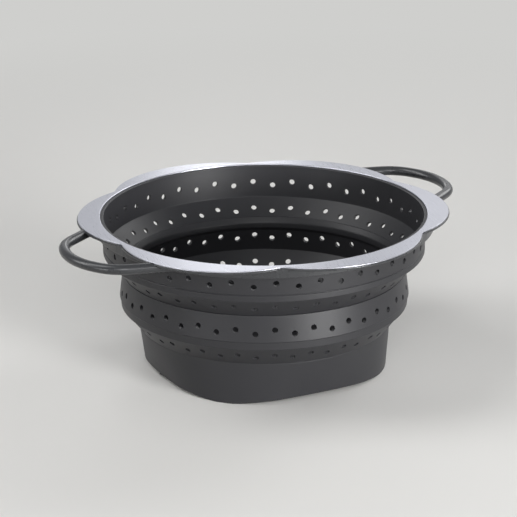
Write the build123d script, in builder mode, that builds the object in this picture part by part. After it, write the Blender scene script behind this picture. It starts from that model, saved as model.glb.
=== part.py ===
# A collapsible colander, standing open on its foot. Millimetres and degrees.
# Z is up from the table on the bowl's axis, and X runs through both handles.
# The silicone bowl is one moulding on the real thing. Here it is parted at its fold lines,
# so that the two stiff walls can slide down over the foot, as they do when the folds roll over.

import os
from math import atan2, copysign, cos, degrees, radians, sin, sqrt

from build123d import *

os.makedirs("parts", exist_ok=True)

# Heights of the bowl's bands, stacked from the table to the top of the trim
foot_height = 28.3
lower_fold_height = 12.6
middle_height = 22.8
upper_fold_height = 11.8
upper_height = 25.0

# Mouth of the bowl, and how far each stretch of its wall steps in or out, from the top down
mouth_radius = 103.9
upper_wall_taper = 1.0
upper_hem_width = 2.6
upper_fold_width = 11.0
middle_crest_width = 1.7
middle_wall_taper = 2.0
middle_hem_width = 2.2
lower_fold_width = 9.7

# The foot's lower edge is a soft square, measured in from the circle at its top
foot_side_taper = 7.2
foot_corner_depth = 14.7
foot_bow_radius = 191.5

# Silicone
wall = 2.0
fold_thickness = 1.4
hem_height = 5.2
crest_drop = 1.8
groove_depth = 0.5
groove_width = 0.9
lip_thickness = 1.6
lip_width = 2.6
lip_bevel = 0.6
hinge_gap = 0.3

# Drain holes, in the four folding rows and the floor
holes_in_row = 48
hole_width = 3.3
zigzag_height = 2.5
upper_row_share = 0.35
upper_fold_row_share = 0.58
middle_row_share = 0.42
lower_fold_row_share = 0.53
floor_rings = 3
floor_margin_width = 18.4
holes_per_ring = 6
floor_hole_sides = 6
cut_depth = 5.0

# Floor
floor_lift = 4.0
floor_thickness = 2.5

# Steel trim with its lobed outline
lobes = 6
trim_bore_clearance = 0.1
lobe_width = 14.3
notch_width = 3.2
notch_radius = 8.0
trim_thickness = 0.8
trim_drop = 0.5
tab_inset = 5.1
tab_width = 8.0
tab_end_length = 0.8
tab_clearance = 0.2

# Moulded frame under the trim
frame_margin = 0.5
frame_depth = 7.0
plate_thickness = 1.2
collar_width = 4.5
bowl_clearance = 0.4
lip_clearance = 0.1
frame_bevel = 0.7

# Handles
handle_depth = 21.7
handle_end_radius = 46.0
handle_half_width = 30.4
handle_corner_radius = 26.0
leg_splay = 25.2
bar_width = 6.8
bar_height = 6.2
bar_bevel = 1.9
seam_width = 0.3

# The bowl sits turned in its rim
bowl_turn = -9.3

# Levels worked out from the heights
lower_fold_level = foot_height
middle_level = lower_fold_level + lower_fold_height
upper_fold_level = middle_level + middle_height
upper_level = upper_fold_level + upper_fold_height
rim_top = upper_level + upper_height

# Radii worked out from the mouth
upper_groove_radius = mouth_radius - upper_wall_taper
upper_hem_radius = upper_groove_radius - upper_hem_width
middle_crest_radius = upper_hem_radius - upper_fold_width
middle_top_radius = middle_crest_radius + middle_crest_width
middle_groove_radius = middle_top_radius + middle_wall_taper
middle_hem_radius = middle_groove_radius - middle_hem_width
foot_top_radius = middle_hem_radius - lower_fold_width
foot_side_reach = foot_top_radius - foot_side_taper
foot_corner_radius = foot_side_reach - foot_corner_depth
trim_bore_radius = mouth_radius + trim_bore_clearance
lobe_reach = trim_bore_radius + lobe_width
notch_reach = trim_bore_radius + notch_width
tab_radius = lobe_reach - tab_inset
handle_reach = lobe_reach + handle_depth

half_turn = 180.0
quarter_turn = half_turn / 2
half_pitch = half_turn / lobes


def polar(radius, angle):
    """A point at a radius and an angle about the axis."""
    return (radius * cos(radians(angle)), radius * sin(radians(angle)))


def fold_ends(top, bottom):
    """The inner ends of a fold whose outer ends are given: its thickness square to its slope."""
    run, rise = top[0] - bottom[0], top[1] - bottom[1]
    length = sqrt(run**2 + rise**2)
    inward, upward = -fold_thickness * rise / length, fold_thickness * run / length
    return (top[0] + inward, top[1] + upward), (bottom[0] + inward, bottom[1] + upward)


def slope_point(bottom, top, distance):
    """A point at a distance up the slope from bottom to top."""
    run, rise = top[0] - bottom[0], top[1] - bottom[1]
    share = distance / sqrt(run**2 + rise**2)
    return (bottom[0] + run * share, bottom[1] + rise * share)


def arc_middle(start, end):
    """The middle of the arc that leaves start straight up or down and curls in to end."""
    run, rise = start[0] - end[0], end[1] - start[1]
    radius = (run**2 + rise**2) / (2 * run)
    angle = atan2(run, abs(rise))
    return (start[0] - radius * (1 - cos(angle)), start[1] + copysign(radius * sin(angle), rise))


def hole_blocks(bottom, top, share):
    """Two blocks to cut a band's low and high drain holes, each with the turn it starts at."""
    run, rise = top[0] - bottom[0], top[1] - bottom[1]
    length = sqrt(run**2 + rise**2)
    along, through = hole_width / 2 / length, cut_depth / length
    blocks = []
    for number, step in enumerate((-zigzag_height / 2, zigzag_height / 2)):
        radius, level = slope_point(bottom, top, share * length + step)
        corners = []
        for up, out in ((-along, through), (along, through), (along, -through), (-along, -through)):
            corners.append((radius + up * run + out * rise, level + up * rise - out * run))
        with BuildPart() as block:
            with BuildSketch(Plane.XZ):
                with BuildLine():
                    Polyline(*corners, close=True)
                make_face()
            revolve(axis=Axis.Z, revolution_arc=degrees(hole_width / radius))
        turn = bowl_turn + number * 2 * half_turn / holes_in_row - degrees(hole_width / radius) / 2
        blocks.append((block.part, turn))
    return blocks


def trim_level(radius):
    """The height of the trim's top face, which falls a little towards the lobes."""
    return rim_top - trim_drop * (radius - trim_bore_radius) / (lobe_reach - trim_bore_radius)


def trim_under(radius):
    """The height of the trim's underside."""
    return trim_level(radius) - trim_thickness


def lobed_outline(outset):
    """The outline of six round lobes with eased notches between them, grown by the outset."""
    flank = polar(notch_reach, half_pitch)
    rise = lobe_reach - flank[0]
    lobe_radius = (flank[1] ** 2 + rise**2) / (2 * rise)
    with BuildSketch() as outline:
        with PolarLocations(lobe_reach - lobe_radius, lobes, start_angle=half_pitch):
            Circle(lobe_radius)
        notches = outline.vertices().sort_by_distance((0, 0, 0))[:lobes]
        fillet(notches, notch_radius)
        offset(amount=outset)
    return outline.sketch


# The tangent points of the soft square's side arcs and corner arcs
side_centre = foot_bow_radius - foot_side_reach
corner_centre = (sqrt(2 * (foot_bow_radius - foot_corner_radius) ** 2 - side_centre**2) - side_centre) / 2
bow_angle = atan2(corner_centre, corner_centre + side_centre)
joint_x = foot_bow_radius * cos(bow_angle) - side_centre
joint_y = foot_bow_radius * sin(bow_angle)
joint_reach = sqrt(joint_x**2 + joint_y**2)
joint_angle = degrees(atan2(joint_y, joint_x))
corner_reach = corner_centre * sqrt(2) + foot_corner_radius


def eight_arcs(side, joint, corner):
    """Four side arcs and four corner arcs: the soft square, or a circle if all three are alike."""
    for quarter in range(4):
        turn = bowl_turn + quarter * quarter_turn
        leaving = polar(joint, turn - joint_angle)
        meeting = polar(joint, turn + joint_angle)
        after = polar(joint, turn + quarter_turn - joint_angle)
        ThreePointArc(leaving, polar(side, turn), meeting)
        ThreePointArc(meeting, polar(corner, turn + quarter_turn / 2), after)


# Outer points of the folds, each a radius and a level
upper_fold_top = (upper_hem_radius, upper_level)
upper_fold_bottom = (middle_crest_radius, upper_fold_level)
lower_fold_top = (middle_hem_radius, middle_level)
lower_fold_bottom = (foot_top_radius, lower_fold_level)
upper_inner_top, upper_inner_bottom = fold_ends(upper_fold_top, upper_fold_bottom)
lower_inner_top, lower_inner_bottom = fold_ends(lower_fold_top, lower_fold_bottom)
upper_fold_holes = hole_blocks(upper_fold_bottom, upper_fold_top, upper_fold_row_share)
lower_fold_holes = hole_blocks(lower_fold_bottom, lower_fold_top, lower_fold_row_share)

lip_reach = mouth_radius + lip_width
lip_top = trim_under(trim_bore_radius)
lip_bottom = trim_under(lip_reach) - lip_thickness
collar_inner = mouth_radius + bowl_clearance
collar_outer = collar_inner + collar_width

# Foot: a wall that runs from a circle under the fold to a soft square on the table
with BuildPart() as base_wall:
    for inset, mode in ((0, Mode.ADD), (wall, Mode.SUBTRACT)):
        with BuildSketch():
            with BuildLine():
                eight_arcs(foot_side_reach - inset, joint_reach - inset, corner_reach - inset)
            make_face()
        with BuildSketch(Plane.XY.offset(foot_height)):
            with BuildLine():
                top_radius = foot_top_radius - inset
                eight_arcs(top_radius, top_radius, top_radius)
            make_face()
        loft(ruled=True, mode=mode)
    with BuildSketch(Plane.XZ):
        with BuildLine():
            Polyline(
                lower_fold_bottom,
                lower_inner_bottom,
                (foot_top_radius - wall, lower_fold_level),
                close=True,
            )
        make_face()
    revolve(axis=Axis.Z)

# Floor: a perforated plate inside the foot, held off the table so that water runs out
with BuildPart() as perforated_floor:
    with BuildSketch():
        with BuildLine():
            eight_arcs(foot_side_reach - wall, joint_reach - wall, corner_reach - wall)
        make_face()
    with BuildSketch(Plane.XY.offset(foot_height)):
        with BuildLine():
            top_radius = foot_top_radius - wall
            eight_arcs(top_radius, top_radius, top_radius)
        make_face()
    loft(ruled=True)
    with BuildSketch(Plane.XY.offset(floor_lift)):
        Circle(foot_top_radius)
    extrude(amount=floor_thickness, mode=Mode.INTERSECT)
    with BuildSketch():
        RegularPolygon(hole_width / 2, floor_hole_sides)
        for ring in range(1, floor_rings + 1):
            ring_radius = ring * (foot_side_reach - floor_margin_width) / floor_rings
            with PolarLocations(ring_radius, ring * holes_per_ring, start_angle=bowl_turn):
                RegularPolygon(hole_width / 2, floor_hole_sides)
    extrude(amount=foot_height, mode=Mode.SUBTRACT)

# Lower fold: hinged to the foot below, and clear of the middle wall above
with BuildPart() as lower_fold_band:
    fold_length = sqrt((lower_fold_top[0] - lower_fold_bottom[0]) ** 2 + lower_fold_height**2)
    free_end = fold_length - hinge_gap
    with BuildSketch(Plane.XZ):
        with BuildLine():
            Polyline(
                lower_fold_bottom,
                slope_point(lower_fold_bottom, lower_fold_top, free_end),
                slope_point(lower_inner_bottom, lower_inner_top, free_end),
                lower_inner_bottom,
                close=True,
            )
        make_face()
    revolve(axis=Axis.Z)
    for block, turn in lower_fold_holes:
        with PolarLocations(0, holes_in_row // 2, start_angle=turn):
            add(block, mode=Mode.SUBTRACT)

# Middle wall: its crest carries the upper fold, and its hem turns in to the lower fold
middle_groove_level = middle_level + hem_height
crest_end = (middle_top_radius, upper_fold_level - crest_drop)
middle_groove = (middle_groove_radius, middle_groove_level + groove_width)
middle_holes = hole_blocks(middle_groove, crest_end, middle_row_share)
with BuildPart() as middle_wall_band:
    inner_groove_radius = middle_groove_radius - wall
    inner_rise = (lower_inner_top[1] - lower_inner_bottom[1]) / (lower_inner_top[0] - lower_inner_bottom[0])
    inner_corner_level = lower_inner_top[1] + inner_rise * (inner_groove_radius - lower_inner_top[0])
    with BuildSketch(Plane.XZ):
        with BuildLine():
            groove_floor = (middle_groove_radius - groove_depth, middle_groove_level + groove_width / 2)
            groove_bottom = (middle_groove_radius, middle_groove_level)
            Polyline(
                upper_fold_bottom,
                arc_middle(crest_end, upper_fold_bottom),
                crest_end,
                middle_groove,
                groove_floor,
                groove_bottom,
                arc_middle(groove_bottom, lower_fold_top),
                lower_fold_top,
                lower_inner_top,
                (inner_groove_radius, inner_corner_level),
                (middle_top_radius - wall, upper_fold_level - crest_drop),
                upper_inner_bottom,
                close=True,
            )
        make_face()
    revolve(axis=Axis.Z)
    for block, turn in middle_holes:
        with PolarLocations(0, holes_in_row // 2, start_angle=turn):
            add(block, mode=Mode.SUBTRACT)

# Upper fold: hinged to the middle wall below, and clear of the upper wall above
with BuildPart() as upper_fold_band:
    fold_length = sqrt((upper_fold_top[0] - upper_fold_bottom[0]) ** 2 + upper_fold_height**2)
    free_end = fold_length - hinge_gap
    with BuildSketch(Plane.XZ):
        with BuildLine():
            Polyline(
                upper_fold_bottom,
                slope_point(upper_fold_bottom, upper_fold_top, free_end),
                slope_point(upper_inner_bottom, upper_inner_top, free_end),
                upper_inner_bottom,
                close=True,
            )
        make_face()
    revolve(axis=Axis.Z)
    for block, turn in upper_fold_holes:
        with PolarLocations(0, holes_in_row // 2, start_angle=turn):
            add(block, mode=Mode.SUBTRACT)

# Upper wall: its lip is clamped between the frame and the trim
upper_groove_level = upper_level + hem_height
upper_groove = (upper_groove_radius, upper_groove_level + groove_width)
lip_seat = (mouth_radius, lip_bottom)
upper_holes = hole_blocks(upper_groove, lip_seat, upper_row_share)
with BuildPart() as upper_wall_band:
    inner_groove_radius = upper_groove_radius - wall
    inner_rise = (upper_inner_top[1] - upper_inner_bottom[1]) / (upper_inner_top[0] - upper_inner_bottom[0])
    inner_corner_level = upper_inner_top[1] + inner_rise * (inner_groove_radius - upper_inner_top[0])
    with BuildSketch(Plane.XZ) as profile:
        with BuildLine():
            groove_floor = (upper_groove_radius - groove_depth, upper_groove_level + groove_width / 2)
            groove_bottom = (upper_groove_radius, upper_groove_level)
            Polyline(
                (mouth_radius - wall, lip_top),
                (trim_bore_radius, lip_top),
                (lip_reach, trim_under(lip_reach)),
                (lip_reach, lip_bottom),
                lip_seat,
                upper_groove,
                groove_floor,
                groove_bottom,
                arc_middle(groove_bottom, upper_fold_top),
                upper_fold_top,
                upper_inner_top,
                (inner_groove_radius, inner_corner_level),
                close=True,
            )
        make_face()
        chamfer(profile.vertices().sort_by(Axis.Y)[-2:].sort_by(Axis.X)[0], lip_bevel)
    revolve(axis=Axis.Z)
    for block, turn in upper_holes:
        with PolarLocations(0, holes_in_row // 2, start_angle=turn):
            add(block, mode=Mode.SUBTRACT)

# Trim: stamped steel with lobes and six tabs, pressed through slots in the frame
with BuildPart() as rim_trim_ring:
    with BuildSketch(Plane.XZ):
        with BuildLine():
            Polyline(
                (trim_bore_radius, trim_level(trim_bore_radius)),
                (lobe_reach, trim_level(lobe_reach)),
                (lobe_reach, trim_under(lobe_reach)),
                (trim_bore_radius, trim_under(trim_bore_radius)),
                close=True,
            )
        make_face()
    revolve(axis=Axis.Z)
    with BuildSketch():
        add(lobed_outline(0))
    extrude(amount=rim_top, mode=Mode.INTERSECT)
    with BuildSketch(Plane.XY.offset(trim_under(tab_radius) + trim_thickness / 2)):
        with PolarLocations(tab_radius, lobes, start_angle=half_pitch):
            Rectangle(trim_thickness, tab_width)
    extrude(amount=-(trim_thickness / 2 + plate_thickness + tab_end_length))

# Frame: a collar that holds the lip in a step, with a thin lobed plate that backs the trim
with BuildPart() as rim_frame:
    plate_reach = lobe_reach + frame_margin
    seat_radius = lip_reach + lip_clearance
    with BuildSketch(Plane.XZ) as profile:
        with BuildLine():
            Polyline(
                (collar_inner, rim_top - frame_depth),
                (collar_outer, rim_top - frame_depth),
                (collar_outer, trim_under(collar_outer) - plate_thickness),
                (plate_reach, trim_under(plate_reach) - plate_thickness),
                (plate_reach, trim_under(plate_reach)),
                (seat_radius, trim_under(seat_radius)),
                (seat_radius, lip_bottom),
                (collar_inner, lip_bottom),
                close=True,
            )
        make_face()
        chamfer(profile.vertices().group_by(Axis.Y)[0], frame_bevel)
    revolve(axis=Axis.Z)
    with BuildSketch():
        add(lobed_outline(frame_margin))
        Circle(collar_outer)
    extrude(amount=rim_top, mode=Mode.INTERSECT)
    with BuildSketch(Plane.XY.offset(rim_top)):
        with PolarLocations(tab_radius, lobes, start_angle=half_pitch):
            Rectangle(trim_thickness + 2 * tab_clearance, tab_width + 2 * tab_clearance)
    extrude(amount=-frame_depth, mode=Mode.SUBTRACT)

# The space over the frame's plate that the trim takes, which the handles are cut clear of
with BuildPart() as trim_space:
    with BuildSketch(Plane.XZ):
        with BuildLine():
            reach = lobe_reach + seam_width
            Polyline(
                (collar_inner, trim_under(collar_inner)),
                (reach, trim_under(reach)),
                (reach, rim_top + frame_depth),
                (collar_inner, rim_top + frame_depth),
                close=True,
            )
        make_face()
    revolve(axis=Axis.Z)
    with BuildSketch():
        add(lobed_outline(seam_width))
    extrude(amount=rim_top + 2 * frame_depth, mode=Mode.INTERSECT)

# Handles: loops as deep as the collar, which run in under the lobes to it
bar_level = rim_top - frame_depth + bar_height / 2
end_centre = handle_reach - handle_end_radius
shoulder_x = end_centre + sqrt(handle_end_radius**2 - handle_half_width**2)
leg_run, leg_rise = -cos(radians(leg_splay)), sin(radians(leg_splay))
towards_axis = shoulder_x * leg_run + handle_half_width * leg_rise
root_radius = collar_outer - collar_width / 2
leg_length = -towards_axis - sqrt(
    towards_axis**2 - shoulder_x**2 - handle_half_width**2 + root_radius**2
)
root_x = shoulder_x + leg_length * leg_run
root_y = handle_half_width + leg_length * leg_rise

with BuildPart() as right_handle:
    with BuildLine(Plane.XY.offset(bar_level)) as loop:
        Line((root_x, -root_y), (shoulder_x, -handle_half_width))
        ThreePointArc(
            (shoulder_x, -handle_half_width), (handle_reach, 0), (shoulder_x, handle_half_width)
        )
        Line((shoulder_x, handle_half_width), (root_x, root_y))
        fillet(loop.vertices().group_by(Axis.X)[1], handle_corner_radius)
    with BuildSketch(Plane(origin=loop.wire() @ 0, x_dir=(0, 0, 1), z_dir=loop.wire() % 0)):
        section = Rectangle(bar_height, bar_width)
        chamfer(section.vertices(), bar_bevel)
    sweep(path=loop.wire())
    add(rim_frame.part, mode=Mode.SUBTRACT)
    add(trim_space.part, mode=Mode.SUBTRACT)
    with BuildSketch(Plane.XY.offset(rim_top - frame_depth)):
        Circle((seat_radius + collar_outer) / 2)
    extrude(amount=frame_depth, mode=Mode.SUBTRACT)

with BuildPart() as left_handle:
    add(right_handle.part.rotate(Axis.Z, half_turn))

nodes = {
    "base_wall": base_wall,
    "perforated_floor": perforated_floor,
    "lower_fold_band": lower_fold_band,
    "middle_wall_band": middle_wall_band,
    "upper_fold_band": upper_fold_band,
    "upper_wall_band": upper_wall_band,
    "rim_trim_ring": rim_trim_ring,
    "rim_frame": rim_frame,
    "right_handle": right_handle,
    "left_handle": left_handle,
}
for name, node in nodes.items():
    node.part.label = name
    export_step(node.part, f"parts/{name}.step")
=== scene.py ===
import math

import bpy
from mathutils import Matrix, Vector


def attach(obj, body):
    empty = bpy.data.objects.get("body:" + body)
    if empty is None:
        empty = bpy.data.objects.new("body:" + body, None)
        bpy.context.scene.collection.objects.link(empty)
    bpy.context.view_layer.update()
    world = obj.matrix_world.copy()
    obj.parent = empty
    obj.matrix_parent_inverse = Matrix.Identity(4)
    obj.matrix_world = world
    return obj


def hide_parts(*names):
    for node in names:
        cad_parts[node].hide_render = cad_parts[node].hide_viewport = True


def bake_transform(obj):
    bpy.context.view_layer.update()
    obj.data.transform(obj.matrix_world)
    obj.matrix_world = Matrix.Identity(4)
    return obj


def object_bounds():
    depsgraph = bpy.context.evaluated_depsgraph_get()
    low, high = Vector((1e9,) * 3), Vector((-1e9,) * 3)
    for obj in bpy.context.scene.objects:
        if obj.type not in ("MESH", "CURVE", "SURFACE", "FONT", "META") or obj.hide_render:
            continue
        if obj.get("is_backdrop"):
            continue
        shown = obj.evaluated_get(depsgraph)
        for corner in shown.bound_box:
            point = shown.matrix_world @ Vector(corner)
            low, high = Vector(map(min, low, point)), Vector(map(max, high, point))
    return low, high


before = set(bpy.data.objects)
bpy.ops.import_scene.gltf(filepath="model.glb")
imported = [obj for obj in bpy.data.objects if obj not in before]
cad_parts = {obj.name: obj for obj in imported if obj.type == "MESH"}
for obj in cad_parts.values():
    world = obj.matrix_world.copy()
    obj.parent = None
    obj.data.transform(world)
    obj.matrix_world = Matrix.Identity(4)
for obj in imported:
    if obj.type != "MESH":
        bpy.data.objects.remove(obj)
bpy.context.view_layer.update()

mm = 0.001
weld = 0.01 * mm
fullTurn = math.radians(360)
arcStep = math.radians(15)  # the largest turn between two points of a rounding
ringSteps = 240
bowlTurn = math.radians(-9.3)  # the bowl sits a little turned in its rim


def deselectAll():
    if bpy.context.object and bpy.context.object.mode != "OBJECT":
        bpy.ops.object.mode_set(mode="OBJECT")
    bpy.ops.object.select_all(action="DESELECT")


def pickObjects(*objects):
    deselectAll()
    for item in objects:
        item.select_set(True)
    bpy.context.view_layer.objects.active = objects[0]


def finishMesh(name):
    bpy.ops.mesh.select_all(action="SELECT")
    bpy.ops.mesh.remove_doubles(threshold=weld)
    bpy.ops.mesh.normals_make_consistent(inside=False)
    bpy.ops.object.mode_set(mode="OBJECT")
    piece = bpy.context.object
    piece.name = name
    piece.data.name = name
    return piece


def applyModifier(piece, kind, **settings):
    pickObjects(piece)
    modifier = piece.modifiers.new(kind.title(), kind)
    for key, value in settings.items():
        setattr(modifier, key, value)
    bpy.ops.object.modifier_apply(modifier=modifier.name)


def combine(piece, tool, operation):
    applyModifier(piece, "BOOLEAN", object=tool, operation=operation, solver="EXACT")
    bpy.data.objects.remove(tool, do_unlink=True)


def softenEdges(piece, width, segments=3):
    applyModifier(
        piece,
        "BEVEL",
        width=width * mm,
        segments=segments,
        limit_method="ANGLE",
        angle_limit=math.radians(50),
        use_clamp_overlap=False,
    )


def shade(piece, angle):  # smooth, with each broad face kept true beside its small roundings
    pickObjects(piece)
    bpy.ops.object.shade_smooth_by_angle(angle=math.radians(angle))
    applyModifier(piece, "WEIGHTED_NORMAL", mode="FACE_AREA", weight=50, keep_sharp=True)


def sweep(angle, centre, steps):  # spin turns clockwise, so the angle changes its sign
    bpy.ops.mesh.spin(steps=steps, angle=-angle, center=centre, axis=(0, 0, 1))


def startPoint(spot):  # one vertex at the spot, selected in edit mode
    deselectAll()
    bpy.ops.mesh.primitive_plane_add(size=mm, location=spot)
    bpy.ops.object.transform_apply()
    bpy.ops.object.mode_set(mode="EDIT")
    bpy.ops.mesh.select_all(action="SELECT")
    bpy.ops.mesh.merge(type="CENTER")


def roundOff(corners):  # corners are (radius, height, rounding) in mm
    points = []
    count = len(corners)
    for i, (x, y, rounding) in enumerate(corners):
        here = Vector((x, y))
        if not rounding:
            points.append(here)
            continue
        before = (Vector(corners[i - 1][:2]) - here).normalized()
        after = (Vector(corners[(i + 1) % count][:2]) - here).normalized()
        half = before.angle(after) / 2
        centre = here + (before + after).normalized() * (rounding / math.sin(half))
        start = here + before * (rounding / math.tan(half)) - centre
        end = here + after * (rounding / math.tan(half)) - centre
        turn = math.atan2(start.cross(end), start.dot(end))
        steps = max(2, math.ceil(abs(turn) / arcStep))
        for step in range(steps + 1):
            points.append(centre + Matrix.Rotation(turn * step / steps, 2) @ start)
    return points


def spinProfile(name, corners, steps=ringSteps):  # a ring with this section, closed all round
    points = [Vector((x * mm, 0, y * mm)) for x, y in roundOff(corners)]
    startPoint(points[0])
    for here, there in zip(points, points[1:]):
        bpy.ops.mesh.extrude_region_move(TRANSFORM_OT_translate={"value": there - here})
    bpy.ops.mesh.select_all(action="SELECT")
    bpy.ops.mesh.edge_face_add()
    bpy.ops.mesh.delete(type="ONLY_FACE")
    bpy.ops.mesh.select_all(action="SELECT")
    sweep(fullTurn, (0, 0, 0), steps)
    return finishMesh(name)


def spinArcs(start, arcs):  # a closed flat outline, from arcs of (centre, angle, steps) one after another
    startPoint(start)
    for centre, angle, steps in arcs:
        sweep(angle, centre, steps)
    bpy.ops.mesh.select_all(action="SELECT")
    bpy.ops.mesh.remove_doubles(threshold=weld)


def around(radius, angle, height):
    return Vector((radius * math.cos(angle), radius * math.sin(angle), height)) * mm


def repeatAround(count):  # the whole mesh in edit mode, copied round the axis
    bpy.ops.mesh.select_all(action="SELECT")
    bpy.ops.mesh.spin(
        steps=count - 1,
        dupli=True,
        angle=fullTurn * (count - 1) / count,
        center=(0, 0, 0),
        axis=(0, 0, 1),
    )


drainHoles = {"perRow": 48, "width": 3.7, "zigzag": 2.5, "sides": 24, "reach": 8.0, "floorReach": 7.5}


def addDrill(spot, reach, rotation=(0, 0, 0)):  # the first is a new object, and the next ones join it
    bpy.ops.mesh.primitive_cylinder_add(
        vertices=drainHoles["sides"],
        radius=drainHoles["width"] / 2 * mm,
        depth=reach * mm,
        location=spot,
        rotation=rotation,
    )
    if bpy.context.object.mode == "OBJECT":
        bpy.ops.object.transform_apply()
        bpy.ops.object.mode_set(mode="EDIT")


def drillRow(piece, low, high, share):  # low and high are (radius, height) on the wall's outer face
    slope = Vector(high) - Vector(low)
    tilt = math.atan2(slope.y, -slope.x)  # of the hole's axis, from upright
    deselectAll()
    for number in range(2):
        step = drainHoles["zigzag"] * (number - 0.5)
        spot = Vector(low) + slope * share + slope.normalized() * step
        angle = bowlTurn + number * fullTurn / drainHoles["perRow"]
        addDrill(around(spot.x, angle, spot.y), drainHoles["reach"], (0, tilt, angle))
    repeatAround(drainHoles["perRow"] // 2)
    combine(piece, finishMesh("drills"), "DIFFERENCE")


# Silicone bowl: foot, two folds and two stiff walls; the foot and the stiff walls each follow their own
# body

foot = {
    "height": 28.3,
    "topRadius": 81.1,
    "sideReach": 73.9,
    "sideBow": 191.5,
    "cornerRadius": 57.4,
    "sideSteps": 20,
    "cornerSteps": 40,
    "levels": 6,
    "wall": 2.0,
    "edge": 0.605,
    "edgeSteps": 4,
    "archHeight": 2.8,
    "archSpan": 104.0,
    "archLength": 200.0,
    "archSteps": 1440,
    "smoothAngle": 40,
    "floorLow": 4.0,
    "floorThickness": 2.5,
    "floorLean": 0.7,  # how much of the wall's outward lean the floor's edge follows
    "floorRings": 3,
    "floorRingStep": 18.5,
    "floorSmoothAngle": 32,
}


def softSquare(grow):  # the outline of the foot's lower edge, four side arcs and four corner arcs
    back = foot["sideBow"] - foot["sideReach"]
    corner = (math.sqrt(2 * (foot["sideBow"] - foot["cornerRadius"]) ** 2 - back**2) - back) / 2
    half = math.atan2(corner, corner + back)
    cornerTurn = fullTurn / 4 - 2 * half
    bow = foot["sideBow"] + grow
    first = Vector((bow * math.cos(half) - back, -bow * math.sin(half), 0))
    arcs = []
    for quarter in range(4):
        turn = bowlTurn + quarter * fullTurn / 4
        arcs.append((around(-back, turn, 0), 2 * half, foot["sideSteps"]))
        cornerCentre = around(corner * math.sqrt(2), turn + fullTurn / 8, 0)
        arcs.append((cornerCentre, cornerTurn, foot["cornerSteps"]))
    spinArcs(Matrix.Rotation(bowlTurn, 3, "Z") @ first * mm, arcs)


def liftSides(piece):  # a shallow arch between the corners on each side, cut by two long cylinders
    rise = foot["archHeight"]
    radius = ((foot["archSpan"] / 2) ** 2 + rise**2) / (2 * rise)
    for turn in (bowlTurn, bowlTurn + fullTurn / 4):
        deselectAll()
        bpy.ops.mesh.primitive_cylinder_add(
            vertices=foot["archSteps"],
            radius=radius * mm,
            depth=foot["archLength"] * mm,
            location=(0, 0, (rise - radius) * mm),
            rotation=(0, fullTurn / 4, turn),
        )
        bpy.ops.object.transform_apply()
        combine(piece, bpy.context.object, "DIFFERENCE")


def makeFoot():
    softSquare(0)
    bpy.ops.mesh.primitive_circle_add(
        vertices=4 * (foot["sideSteps"] + foot["cornerSteps"]),
        radius=foot["topRadius"] * mm,
        location=(0, 0, foot["height"] * mm),
        rotation=(0, 0, bowlTurn),
    )
    bpy.ops.mesh.select_all(action="SELECT")
    bpy.ops.mesh.bridge_edge_loops(number_cuts=foot["levels"], interpolation="LINEAR")
    piece = finishMesh("siliconeFoot")
    applyModifier(piece, "SOLIDIFY", thickness=foot["wall"] * mm, offset=-1, use_even_offset=True)
    liftSides(piece)
    softenEdges(piece, foot["edge"], foot["edgeSteps"])
    return piece


silicone = {}
silicone["foot"] = makeFoot()
shade(silicone["foot"], foot["smoothAngle"])
print("foot made")

# Each fold runs from start to top on its outer face. Its root is the outline from the lower end
# of the inner face round to the start.
folds = {
    "thickness": 1.4,
    "rings": 14,
    "overlap": 0.4,
    "smoothAngle": 32,
    "lowerStart": (81.1, 28.3),
    "lowerTop": (90.8, 40.9),
    "lowerRoot": [(80.2, 29.4), (79.1, 28.0), (80.4, 27.5), (81.08, 27.6)],
    "upperStart": (90.6, 63.6),
    "upperTop": (100.3, 75.5),
    "upperRoot": [(90.5, 66.8), (89.3, 64.6), (89.7, 63.3)],
}


def foldCorners(start, top, root):  # with rings enough to bend
    slope = (Vector(top) - Vector(start)).normalized()
    inward = Vector((-slope.y, slope.x)) * folds["thickness"]
    end = Vector(top) + slope * folds["overlap"]
    rings = folds["rings"]
    outer = [Vector(start).lerp(end, i / rings) for i in range(rings + 1)]
    inner = [(end + inward).lerp(Vector(root[0]), i / rings) for i in range(rings)]
    return [(*point, 0) for point in [*outer, *inner, *root]]


# The sections of the stiff walls, as (radius, height, rounding)
walls = {
    "middleWall": [
        (89.3, 63.7, 0.2),
        (90.9, 63.4, 0.3),
        (93.0, 46.9, 0.2),
        (92.45, 46.4, 0.3),
        (92.2, 41.4, 1.0),
        (90.8, 40.9, 0.3),
        (89.69, 41.75, 0.2),
        (91.0, 43.45, 0.6),
        (89.45, 58.0, 1.2),
        (87.9, 60.0, 1.5),
        (88.1, 63.6, 3.4),
        (90.3, 67.1, 0.8),
        (92.2, 67.4, 0.1),
    ],
    "upperWall": [
        (101.9, 99.7, 0.5),
        (104.0, 99.7, 0),
        (106.5, 99.59, 0.2),
        (106.5, 98.01, 0.2),
        (103.9, 98.01, 0.3),
        (102.9, 81.2, 0.2),
        (102.35, 80.7, 0.2),
        (102.85, 80.2, 0.3),
        (102.9, 76.3, 1.1),
        (100.3, 75.5, 0.4),
        (99.28, 76.45, 0.2),
        (100.9, 78.19, 0.8),
    ],
}

# The rows of drain holes, each at a share of the way between two points of the outer face
holeRows = {
    "lowerFold": (folds["lowerStart"], folds["lowerTop"], 0.53),
    "upperFold": ((89.3, 63.7), folds["upperTop"], 0.58),
    "middleWall": ((93.0, 47.0), (91.0, 61.9), 0.42),
    "upperWall": ((102.9, 81.6), (103.9, 98.01), 0.35),
}

for side in ("lower", "upper"):
    corners = foldCorners(folds[side + "Start"], folds[side + "Top"], folds[side + "Root"])
    silicone[side + "Fold"] = spinProfile(side + "Fold", corners)
for key, corners in walls.items():
    silicone[key] = spinProfile(key, corners)
for key, (low, high, share) in holeRows.items():
    drillRow(silicone[key], low, high, share)
    shade(silicone[key], folds["smoothAngle"])
print("folding walls made")


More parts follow.
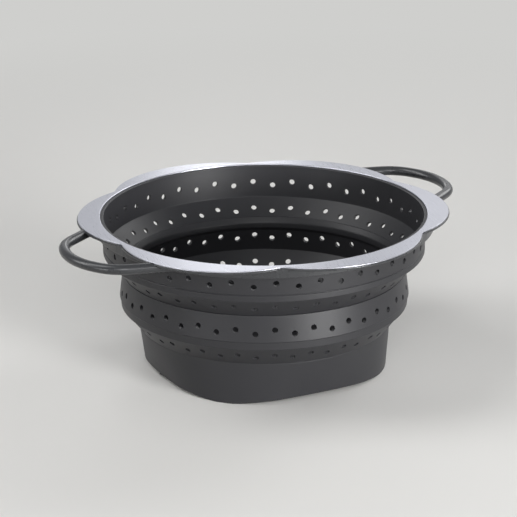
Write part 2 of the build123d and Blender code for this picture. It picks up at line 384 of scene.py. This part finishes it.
def makeFloor():
    low, thickness = foot["floorLow"], foot["floorThickness"]
    share = (low + thickness) / foot["height"]
    lean = (foot["topRadius"] - foot["sideReach"]) * share * foot["floorLean"]
    softSquare(lean - foot["wall"])
    bpy.ops.transform.translate(value=(0, 0, low * mm))
    bpy.ops.mesh.edge_face_add()
    bpy.ops.mesh.extrude_region_move(TRANSFORM_OT_translate={"value": (0, 0, thickness * mm)})
    piece = finishMesh("perforatedFloor")
    deselectAll()
    for ring in range(foot["floorRings"] + 1):
        count = max(1, ring * 6)
        for number in range(count):
            angle = bowlTurn + number * fullTurn / count
            addDrill(around(ring * foot["floorRingStep"], angle, low), drainHoles["floorReach"])
    combine(piece, finishMesh("drills"), "DIFFERENCE")
    return piece


silicone["floor"] = makeFloor()
shade(silicone["floor"], foot["floorSmoothAngle"])
print("floor made")

# Rim: stamped steel over a moulded frame

rim = {
    "lobes": 6,
    "lobeReach": 118.3,
    "lobeSteps": 44,
    "notchReach": 107.2,
    "notchRound": 8.0,
    "notchSteps": 4,
    "steps": 360,
    "spare": 4.0,
    "toolLow": 80.0,
    "toolHeight": 40.0,
    "bore": 104.0,
    "boreRounding": 0.6,
    "top": 100.5,
    "fall": 0.5,
    "sheet": 0.8,
    "sheetEdge": 0.22,
    "frameMargin": 0.5,
    "frameEdge": 0.4,
    "plate": 1.2,
    "collarInner": 104.3,
    "collarOuter": 108.8,
    "collarLow": 93.5,
    "seatRadius": 106.6,
    "seatLevel": 97.98,
    "tabRadius": 113.2,
    "tabWidth": 8.0,
    "tabStand": 0.8,
    "tabSunk": 0.4,
    "tabEdge": 0.25,
    "smoothAngle": 30,
}
blank = rim["lobeReach"] + rim["spare"]  # the rings are spun to this radius and then cut to the lobes


def sheetTop(radius):  # the trim falls a little towards its lobes
    return rim["top"] - rim["fall"] * (radius - rim["bore"]) / (rim["lobeReach"] - rim["bore"])


def sheetUnder(radius):
    return sheetTop(radius) - rim["sheet"]


def lobedBlock(grow):  # a tall block with the rim's lobed outline, to cut rings with
    half = fullTurn / rim["lobes"] / 2
    flank = Vector((rim["notchReach"] * math.cos(half), rim["notchReach"] * math.sin(half)))
    rise = rim["lobeReach"] - flank.x
    lobeRadius = (flank.y**2 + rise**2) / (2 * rise)
    lobeAt = rim["lobeReach"] - lobeRadius
    across = lobeAt * math.sin(half)
    reach = lobeRadius + rim["notchRound"]
    notchAt = lobeAt * math.cos(half) + math.sqrt(reach**2 - across**2)
    lean = math.asin(across / reach)
    arcs = []
    for lobe in range(rim["lobes"]):
        turn = lobe * 2 * half
        arcs.append((around(notchAt, turn, 0), -lean, rim["notchSteps"]))
        arcs.append((around(lobeAt, turn + half, 0), 2 * half + 2 * lean, rim["lobeSteps"]))
        arcs.append((around(notchAt, turn + 2 * half, 0), -lean, rim["notchSteps"]))
    spinArcs(around(notchAt - rim["notchRound"] + grow, 0, 0), arcs)
    bpy.ops.mesh.edge_face_add()
    bpy.ops.transform.translate(value=(0, 0, rim["toolLow"] * mm))
    bpy.ops.mesh.extrude_region_move(TRANSFORM_OT_translate={"value": (0, 0, rim["toolHeight"] * mm)})
    return finishMesh("lobedBlock")


def tallCylinder(radius):  # 1 mm taller than the lobed block at both ends
    deselectAll()
    bpy.ops.mesh.primitive_cylinder_add(
        vertices=rim["steps"],
        radius=radius * mm,
        depth=(rim["toolHeight"] + 2) * mm,
        location=(0, 0, (rim["toolLow"] + rim["toolHeight"] / 2) * mm),
    )
    bpy.ops.object.transform_apply()
    return bpy.context.object


def makeTabs():  # one under the middle of each lobe, which goes through the plate
    halfLobe = fullTurn / rim["lobes"] / 2
    stand = rim["plate"] + rim["tabStand"]
    middle = sheetUnder(rim["tabRadius"]) - (stand - rim["tabSunk"]) / 2
    deselectAll()
    bpy.ops.mesh.primitive_cube_add(
        size=1,
        location=around(rim["tabRadius"], halfLobe, middle),
        rotation=(0, 0, halfLobe),
        scale=(rim["sheet"] * mm, rim["tabWidth"] * mm, (stand + rim["tabSunk"]) * mm),
    )
    bpy.ops.object.transform_apply()
    bpy.ops.object.mode_set(mode="EDIT")
    bpy.ops.mesh.select_all(action="SELECT")
    bpy.ops.mesh.bevel(offset=rim["tabEdge"] * mm, segments=2)
    repeatAround(rim["lobes"])
    return finishMesh("tabs")


def makeTrim():
    bore = rim["bore"]
    piece = spinProfile(
        "steelTrim",
        [
            (bore, sheetTop(bore), rim["boreRounding"]),
            (blank, sheetTop(blank), 0),
            (blank, sheetUnder(blank), 0),
            (bore, sheetUnder(bore), 0),
        ],
        rim["steps"],
    )
    combine(piece, lobedBlock(0), "INTERSECT")
    softenEdges(piece, rim["sheetEdge"])
    pickObjects(piece, makeTabs())
    bpy.ops.object.join()
    return piece


def makeFrame():
    collar, inner, seat = rim["collarOuter"], rim["collarInner"], rim["seatRadius"]
    piece = spinProfile(
        "mouldedFrame",
        [
            (inner, rim["collarLow"], 0.6),
            (collar, rim["collarLow"], 0.6),
            (collar, sheetUnder(collar) - rim["plate"], 0.5),
            (blank, sheetUnder(blank) - rim["plate"], 0),
            (blank, sheetUnder(blank), 0),
            (seat, sheetUnder(seat), 0.1),
            (seat, rim["seatLevel"], 0.1),
            (inner, rim["seatLevel"], 0.2),
        ],
        rim["steps"],
    )
    block = lobedBlock(rim["frameMargin"])
    combine(block, tallCylinder(collar), "UNION")
    combine(piece, block, "INTERSECT")
    softenEdges(piece, rim["frameEdge"])
    return piece


steelTrim = makeTrim()
shade(steelTrim, rim["smoothAngle"])
mouldedFrame = makeFrame()
shade(mouldedFrame, rim["smoothAngle"])
print("rim made")

# Handles: an oval bar run along a leg, round the loop and back

handle = {
    "reach": 140.0,
    "endRadius": 46.0,
    "endSteps": 40,
    "halfWidth": 30.4,
    "shoulderRadius": 26.0,
    "shoulderSteps": 8,
    "splay": 25.2,
    "barWidth": 6.8,
    "barHeight": 6.2,
    "barSides": 28,
    "level": 96.6,
    "root": 106.5,
    "embedded": 107.7,
    "seam": 0.3,
    "cutHeight": 10.0,
    "smoothAngle": 50,
}


def layBar(legStart, legEnd, arcCentre, endAt):  # a leg, a shoulder, the loop's end, and back
    splay = math.radians(handle["splay"])
    height = Vector((0, 0, handle["level"]))
    deselectAll()
    bpy.ops.mesh.primitive_circle_add(
        vertices=handle["barSides"],
        radius=handle["barWidth"] / 2 * mm,
        location=(legStart.to_3d() + height) * mm,
        rotation=(0, fullTurn / 4, splay),
    )
    bpy.ops.object.transform_apply()
    bpy.ops.object.mode_set(mode="EDIT")
    bpy.ops.mesh.select_all(action="SELECT")
    bpy.ops.transform.resize(
        value=(1, 1, handle["barHeight"] / handle["barWidth"]),
        center_override=height * mm,
    )
    leg = (legEnd - legStart).to_3d() * mm
    near = (arcCentre.to_3d() + height) * mm
    end = (endAt.to_3d() + height) * mm
    toArc = arcCentre - endAt
    lean = math.atan2(toArc.y, toArc.x)
    shoulderTurn = lean - (splay - fullTurn / 4)
    bpy.ops.mesh.extrude_region_move(TRANSFORM_OT_translate={"value": leg})
    sweep(shoulderTurn, near, handle["shoulderSteps"])
    sweep(-2 * lean, end, handle["endSteps"])
    sweep(shoulderTurn, near * Vector((1, -1, 1)), handle["shoulderSteps"])
    bpy.ops.mesh.extrude_region_move(TRANSFORM_OT_translate={"value": leg * Vector((-1, 1, 1))})
    bpy.ops.mesh.select_all(action="SELECT")
    bpy.ops.mesh.remove_doubles(threshold=weld)
    bpy.ops.mesh.fill_holes(sides=0)


def makeHandle(name):
    splay = math.radians(handle["splay"])
    endRadius, halfWidth = handle["endRadius"], handle["halfWidth"]
    endAt = Vector((handle["reach"] - endRadius, 0))
    shoulder = endAt + Vector((math.sqrt(endRadius**2 - halfWidth**2), -halfWidth))
    along = Vector((math.cos(splay), math.sin(splay)))  # from the root of the lower leg to its shoulder
    inward = Vector((-along.y, along.x))
    # the shoulder's arc touches the leg's line and the loop's end arc from inside
    gap = endRadius - handle["shoulderRadius"]
    offLine = shoulder + inward * handle["shoulderRadius"]
    toLine = offLine - endAt
    drop = toLine.dot(along)
    slide = -drop + math.sqrt(drop**2 - toLine.length_squared + gap**2)
    legEnd = shoulder + along * slide
    nearest = legEnd - along * legEnd.dot(along)  # the leg's line is nearest the axis here
    legStart = nearest + along * math.sqrt(handle["root"] ** 2 - nearest.length_squared)
    layBar(legStart, legEnd, offLine + along * slide, endAt)
    piece = finishMesh(name)
    # the legs end inside the collar, and clear the steel by a seam
    combine(piece, tallCylinder(handle["embedded"]), "DIFFERENCE")
    inner, top = rim["collarInner"], rim["top"] + handle["cutHeight"]
    overSheet = spinProfile(
        "overSheet",
        [(inner, sheetUnder(inner), 0), (blank, sheetUnder(blank), 0), (blank, top, 0), (inner, top, 0)],
    )
    combine(overSheet, lobedBlock(handle["seam"]), "INTERSECT")
    combine(piece, overSheet, "DIFFERENCE")
    return piece


rightHandle = makeHandle("rightHandle")
shade(rightHandle, handle["smoothAngle"])
leftHandle = rightHandle.copy()
leftHandle.data = rightHandle.data.copy()
leftHandle.name = leftHandle.data.name = "leftHandle"
bpy.context.collection.objects.link(leftHandle)
pickObjects(leftHandle)
leftHandle.rotation_euler = (0, 0, fullTurn / 2)
bpy.ops.object.transform_apply()
print("handles made")

# Each piece but the two folds follows its body, and each stands for its CAD node

for key, body, node in (
    ("foot", "base", "base_wall"),
    ("floor", "base", "perforated_floor"),
    ("middleWall", "middle_ring", "middle_wall_band"),
    ("upperWall", "rim", "upper_wall_band"),
):
    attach(silicone[key], body)
    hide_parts(node)
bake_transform(silicone["lowerFold"])
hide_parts("lower_fold_band")
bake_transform(silicone["upperFold"])
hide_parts("upper_fold_band")
for piece, node in (
    (steelTrim, "rim_trim_ring"),
    (mouldedFrame, "rim_frame"),
    (rightHandle, "right_handle"),
    (leftHandle, "left_handle"),
):
    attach(piece, "rim")
    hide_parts(node)


def linear(hexColour):  # sRGB hex to linear colour
    parts = [int(hexColour[i : i + 2], 16) / 255 for i in (1, 3, 5)]
    return (*[c / 12.92 if c <= 0.04045 else ((c + 0.055) / 1.055) ** 2.4 for c in parts], 1)


def newMaterial(name):
    material = bpy.data.materials.new(name)
    material.use_nodes = True
    return material, material.node_tree.nodes["Principled BSDF"]


def feed(owner, node, links):  # the node's inputs, from other nodes' outputs
    for key, source in links.items():
        owner.node_tree.links.new(source, node.inputs[key])


def addNode(owner, kind, settings=None, links=None):  # the owner is a material or the world
    node = owner.node_tree.nodes.new(kind)
    for key, value in (settings or {}).items():
        if isinstance(key, str) and hasattr(node, key):
            setattr(node, key, value)
        else:
            node.inputs[key].default_value = value
    feed(owner, node, links or {})
    return node


def fillSlots(material, *objects):
    for item in objects:
        item.data.materials.clear()
        item.data.materials.append(material)


# Platinum-cured silicone, moulded against a fine matt tool: even dark grey, a broad soft sheen, no glints
rubber = {
    "colour": "#2D2D2F",
    "darker": "#27272A",
    "roughness": 0.45,
    "index": 1.41,
    "cloudSize": 30.0,
    "grainSize": 0.45,  # coarser than the real grain, so that it shows
    "bump": 0.12,
    "bumpHeight": 0.05,
}
mouldedSilicone, shader = newMaterial("mouldedSilicone")
shader.inputs["Roughness"].default_value = rubber["roughness"]
shader.inputs["IOR"].default_value = rubber["index"]
place = addNode(mouldedSilicone, "ShaderNodeTexCoord").outputs["Object"]
clouds = addNode(
    mouldedSilicone,
    "ShaderNodeTexNoise",
    {"Scale": 1 / (rubber["cloudSize"] * mm), "Detail": 3.0},
    {"Vector": place},
)
tint = addNode(
    mouldedSilicone,
    "ShaderNodeMix",
    {"data_type": "RGBA", 6: linear(rubber["darker"]), 7: linear(rubber["colour"])},
    {0: clouds.outputs["Fac"]},
)
grain = addNode(
    mouldedSilicone,
    "ShaderNodeTexNoise",
    {"Scale": 1 / (rubber["grainSize"] * mm), "Detail": 2.0},
    {"Vector": place},
)
bump = addNode(
    mouldedSilicone,
    "ShaderNodeBump",
    {"Strength": rubber["bump"], "Distance": rubber["bumpHeight"] * mm},
    {"Height": grain.outputs["Fac"]},
)
feed(mouldedSilicone, shader, {"Base Color": tint.outputs[2], "Normal": bump.outputs["Normal"]})
fillSlots(mouldedSilicone, *silicone.values())

# Stainless steel sheet, brushed in one direction: fine straight lines that spread the light across them
steel = {
    "colour": "#C6C7CE",
    "darker": "#B4B5BE",
    "smoothest": 0.26,
    "roughest": 0.36,
    "lineWidth": 0.35,  # coarser than real brush lines, so that they show
    "lineLength": 30.0,
    "direction": 72.0,
    "bump": 0.25,
    "bumpHeight": 0.03,
}
brushedSteel, shader = newMaterial("brushedSteel")
shader.inputs["Metallic"].default_value = 1.0
place = addNode(brushedSteel, "ShaderNodeTexCoord").outputs["Object"]
turned = addNode(
    brushedSteel,
    "ShaderNodeMapping",
    {"Rotation": (0, 0, -math.radians(steel["direction"]))},
    {"Vector": place},
)
perLength, perWidth = 1 / (steel["lineLength"] * mm), 1 / (steel["lineWidth"] * mm)
stretched = addNode(
    brushedSteel,
    "ShaderNodeMapping",
    {"Scale": (perLength, perWidth, perWidth)},
    {"Vector": turned.outputs["Vector"]},
)
lines = addNode(
    brushedSteel,
    "ShaderNodeTexNoise",
    {"Scale": 1.0, "Detail": 3.0},
    {"Vector": stretched.outputs["Vector"]},
).outputs["Fac"]
tint = addNode(
    brushedSteel,
    "ShaderNodeMix",
    {"data_type": "RGBA", 6: linear(steel["darker"]), 7: linear(steel["colour"])},
    {0: lines},
)
rough = addNode(
    brushedSteel,
    "ShaderNodeMapRange",
    {"From Min": 0.3, "From Max": 0.7, "To Min": steel["smoothest"], "To Max": steel["roughest"]},
    {"Value": lines},
)
bump = addNode(
    brushedSteel,
    "ShaderNodeBump",
    {"Strength": steel["bump"], "Distance": steel["bumpHeight"] * mm},
    {"Height": lines},
)
feed(
    brushedSteel,
    shader,
    {"Base Color": tint.outputs[2], "Roughness": rough.outputs[0], "Normal": bump.outputs["Normal"]},
)
fillSlots(brushedSteel, steelTrim)

# Glass-filled nylon, moulded in a polished tool: dark grey with clear glints
nylon = {"colour": "#2E2F31", "smoothest": 0.23, "roughest": 0.33, "index": 1.53, "waveSize": 9.0}
mouldedNylon, shader = newMaterial("mouldedNylon")
shader.inputs["Base Color"].default_value = linear(nylon["colour"])
shader.inputs["IOR"].default_value = nylon["index"]
place = addNode(mouldedNylon, "ShaderNodeTexCoord").outputs["Object"]
waves = addNode(
    mouldedNylon,
    "ShaderNodeTexNoise",
    {"Scale": 1 / (nylon["waveSize"] * mm), "Detail": 2.0},
    {"Vector": place},
)
rough = addNode(
    mouldedNylon,
    "ShaderNodeMapRange",
    {"To Min": nylon["smoothest"], "To Max": nylon["roughest"]},
    {"Value": waves.outputs["Fac"]},
)
feed(mouldedNylon, shader, {"Roughness": rough.outputs[0]})
fillSlots(mouldedNylon, mouldedFrame, rightHandle, leftHandle)

print("materials made")

# Pale floor: lit round the object, where it keeps the shadow, and plain further out (in metres)
studio = {
    "floor": "#E8E7E4",
    "floorBounce": "#949391",
    "floorSide": 60.0,
    "floorRoughness": 0.6,
    "litRadius": 0.45,
    "plainRadius": 0.95,
    "plain": "#CFCFCD",
    "world": "#E6E8EC",
    "worldLight": 0.05,
    "worldMirrored": 0.5,
    "worldSeen": 0.68,
}
deselectAll()
bpy.ops.mesh.primitive_plane_add(size=studio["floorSide"])
floor = bpy.context.object
floor.name = "studioFloor"
floor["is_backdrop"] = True
paleFloor, shader = newMaterial("paleFloor")
shader.inputs["Roughness"].default_value = studio["floorRoughness"]
ray = addNode(paleFloor, "ShaderNodeLightPath").outputs
seenOrMirrored = addNode(
    paleFloor,
    "ShaderNodeMath",
    {"operation": "ADD"},
    {0: ray["Is Camera Ray"], 1: ray["Is Glossy Ray"]},
)
seen = addNode(
    paleFloor,
    "ShaderNodeMath",
    {"operation": "MAXIMUM"},
    {0: seenOrMirrored.outputs[0], 1: ray["Is Transmission Ray"]},
)
tint = addNode(
    paleFloor,
    "ShaderNodeMix",
    {"data_type": "RGBA", 6: linear(studio["floorBounce"]), 7: linear(studio["floor"])},
    {0: seen.outputs[0]},
)
feed(paleFloor, shader, {"Base Color": tint.outputs[2]})
place = addNode(paleFloor, "ShaderNodeTexCoord").outputs["Object"]
away = addNode(paleFloor, "ShaderNodeVectorMath", {"operation": "LENGTH"}, {0: place})
radii = {"From Min": studio["litRadius"], "From Max": studio["plainRadius"]}
fade = addNode(
    paleFloor,
    "ShaderNodeMapRange",
    {"interpolation_type": "SMOOTHSTEP", **radii},
    {"Value": away.outputs["Value"]},
)
share = addNode(
    paleFloor,
    "ShaderNodeMath",
    {"operation": "MULTIPLY"},
    {0: fade.outputs[0], 1: seen.outputs[0]},
)
plain = addNode(paleFloor, "ShaderNodeEmission", {"Color": linear(studio["plain"])})
mixed = addNode(
    paleFloor,
    "ShaderNodeMixShader",
    links={0: share.outputs[0], 1: shader.outputs[0], 2: plain.outputs[0]},
)
feed(paleFloor, paleFloor.node_tree.nodes["Material Output"], {"Surface": mixed.outputs[0]})
fillSlots(paleFloor, floor)

# Pale world, dim as a light and brighter where it is mirrored or seen
world = bpy.data.worlds.new("studioWorld")
bpy.context.scene.world = world
world.use_nodes = True
background = world.node_tree.nodes["Background"]
background.inputs["Color"].default_value = linear(studio["world"])
ray = addNode(world, "ShaderNodeLightPath").outputs
mirrored = addNode(
    world,
    "ShaderNodeMath",
    {"operation": "MULTIPLY", 1: studio["worldMirrored"]},
    {0: ray["Is Glossy Ray"]},
)
seen = addNode(
    world,
    "ShaderNodeMath",
    {"operation": "MULTIPLY", 1: studio["worldSeen"]},
    {0: ray["Is Camera Ray"]},
)
brighter = addNode(
    world,
    "ShaderNodeMath",
    {"operation": "MAXIMUM"},
    {0: mirrored.outputs[0], 1: seen.outputs[0]},
)
strength = addNode(
    world,
    "ShaderNodeMath",
    {"operation": "MAXIMUM", 1: studio["worldLight"]},
    {0: brighter.outputs[0]},
)
feed(world, background, {"Strength": strength.outputs[0]})

photoTurn = math.radians(-35.8)  # the photograph's camera stands at -Y, turned by this about Z

# Lamps: where each stands as the photograph sees it (right, away, up), the height it aims at,
# its width and height in metres, its power and its spread
lamps = {
    "keyLamp": ((1.18, -1.18, 0.3), 0.07, (0.7, 0.3), 4.5, 60),
    "leftFrontLamp": ((-1.18, -1.18, 0.3), 0.07, (0.7, 0.3), 0.6, 60),
    "frontLamp": ((0, -1.44, 0.9), 0.07, (0.7, 0.7), 7.6, 180),
    "leftLamp": ((-1.44, 0, 0.9), 0.07, (0.7, 0.7), 7.2, 180),
    "leftTopLamp": ((-0.85, 0, 1.47), 0.07, (0.7, 0.7), 6.2, 180),
    "rightBackLamp": ((1.02, 1.02, 0.9), 0.07, (0.7, 0.7), 6.5, 180),
    "backLamp": ((0, 1.7, 0.75), 0.1, (1.4, 0.6), 1.2, 180),
    "rimStrip": ((-0.04, 0.9, 0.42), 0.1, (0.15, 0.35), 0.3, 180),
    "rimPanel": ((0.42, 0.9, 0.42), 0.1, (0.6, 0.35), 0.3, 180),
}
for name, (stand, aimHeight, size, power, spread) in lamps.items():
    spot = Matrix.Rotation(photoTurn, 3, "Z") @ Vector(stand)
    deselectAll()
    bpy.ops.object.light_add(type="AREA", location=spot)
    lamp = bpy.context.object
    lamp.name = name
    lamp.data.shape = "RECTANGLE"
    lamp.data.size, lamp.data.size_y = size
    lamp.data.energy = power
    lamp.data.spread = math.radians(spread)
    lamp.rotation_euler = (Vector((0, 0, aimHeight)) - spot).to_track_quat("-Z", "Y").to_euler()
print("light set")

# Camera, fitted to the photograph
view = {
    "elevation": 19.75,
    "roll": -0.45,
    "distance": 1353.6,
    "aimHeight": 56.9,
    "focalPixels": 2102.0,
    "pixels": 517,
    "panRight": -0.15,
    "panUp": 0.46,
    "sensorWidth": 36.0,
    "clipStart": 0.05,
    "clipEnd": 60.0,
}
elevation = math.radians(view["elevation"])
back = Vector((0, -math.cos(elevation), math.sin(elevation)))
right = Vector((1, 0, 0))
up = back.cross(right)
panRight, panUp = math.tan(math.radians(view["panRight"])), math.tan(math.radians(view["panUp"]))
ahead = (right * panRight + up * panUp - back).normalized()
right = ahead.cross(Vector((0, 0, 1))).normalized()
up = right.cross(ahead)
roll = math.radians(view["roll"])
right, up = right * math.cos(roll) + up * math.sin(roll), up * math.cos(roll) - right * math.sin(roll)
deselectAll()
bpy.ops.object.camera_add()
camera = bpy.context.object
aim = Matrix((right, up, -ahead)).transposed().to_4x4()
spot = Matrix.Translation(back * view["distance"] * mm + Vector((0, 0, view["aimHeight"] * mm)))
camera.matrix_world = Matrix.Rotation(photoTurn, 4, "Z") @ spot @ aim
camera.data.sensor_width = view["sensorWidth"]
camera.data.lens = view["focalPixels"] / view["pixels"] * view["sensorWidth"]
camera.data.clip_start, camera.data.clip_end = view["clipStart"], view["clipEnd"]
bpy.context.scene.camera = camera
bpy.context.scene.view_settings.view_transform = "Standard"
print("camera set")

low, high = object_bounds()
